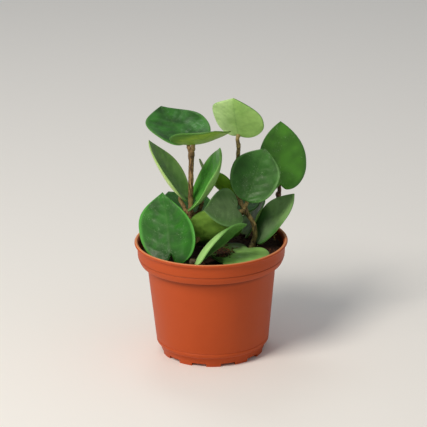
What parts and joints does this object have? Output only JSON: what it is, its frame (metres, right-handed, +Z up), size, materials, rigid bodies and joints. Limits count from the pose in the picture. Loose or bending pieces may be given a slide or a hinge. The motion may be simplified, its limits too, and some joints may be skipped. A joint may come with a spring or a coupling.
{
  "type": "potted hoya",
  "caption": "Round plastic nursery pot of dark potting mix holding a hoya with woody vines and thick, cupped, waxy oval leaves.",
  "frame": {"origin": "centre of the pot's underside, on the surface that it stands on", "axes": "+Z up along the pot's axis; the picture looks along +Y, so -Y is its front and +X its right"},
  "size_m": [0.1224, 0.108, 0.1879],
  "materials": {
    "pot_plastic": "moulded plastic, terracotta colour, soft sheen",
    "potting_mix": "loose peat and bark potting mix, matt",
    "woody_stem": "thin tan to brown bark, matt",
    "leaf": "waxy green upper side with a soft gloss, paler matt underside"
  },
  "bodies": {
    "root": {"pot": "pot_plastic", "soil": "potting_mix", "vine_left": "woody_stem", "vine_centre": "woody_stem", "vine_right": "woody_stem", "vine_front": "woody_stem", "leaf_top_left": "leaf", "leaf_top_front": "leaf", "leaf_top_right": "leaf", "leaf_right_tall": "leaf", "leaf_centre_round": "leaf", "leaf_centre_small": "leaf", "leaf_front_left": "leaf", "leaf_back_left": "leaf", "leaf_left_upright": "leaf", "leaf_middle_upright": "leaf", "leaf_middle_back": "leaf", "leaf_hidden_back": "leaf", "leaf_low_middle": "leaf", "leaf_front_curled": "leaf", "leaf_front_flat": "leaf", "leaf_right_low": "leaf", "leaf_right_inner": "leaf", "leaf_low_back": "leaf"}
  },
  "joints": []
}
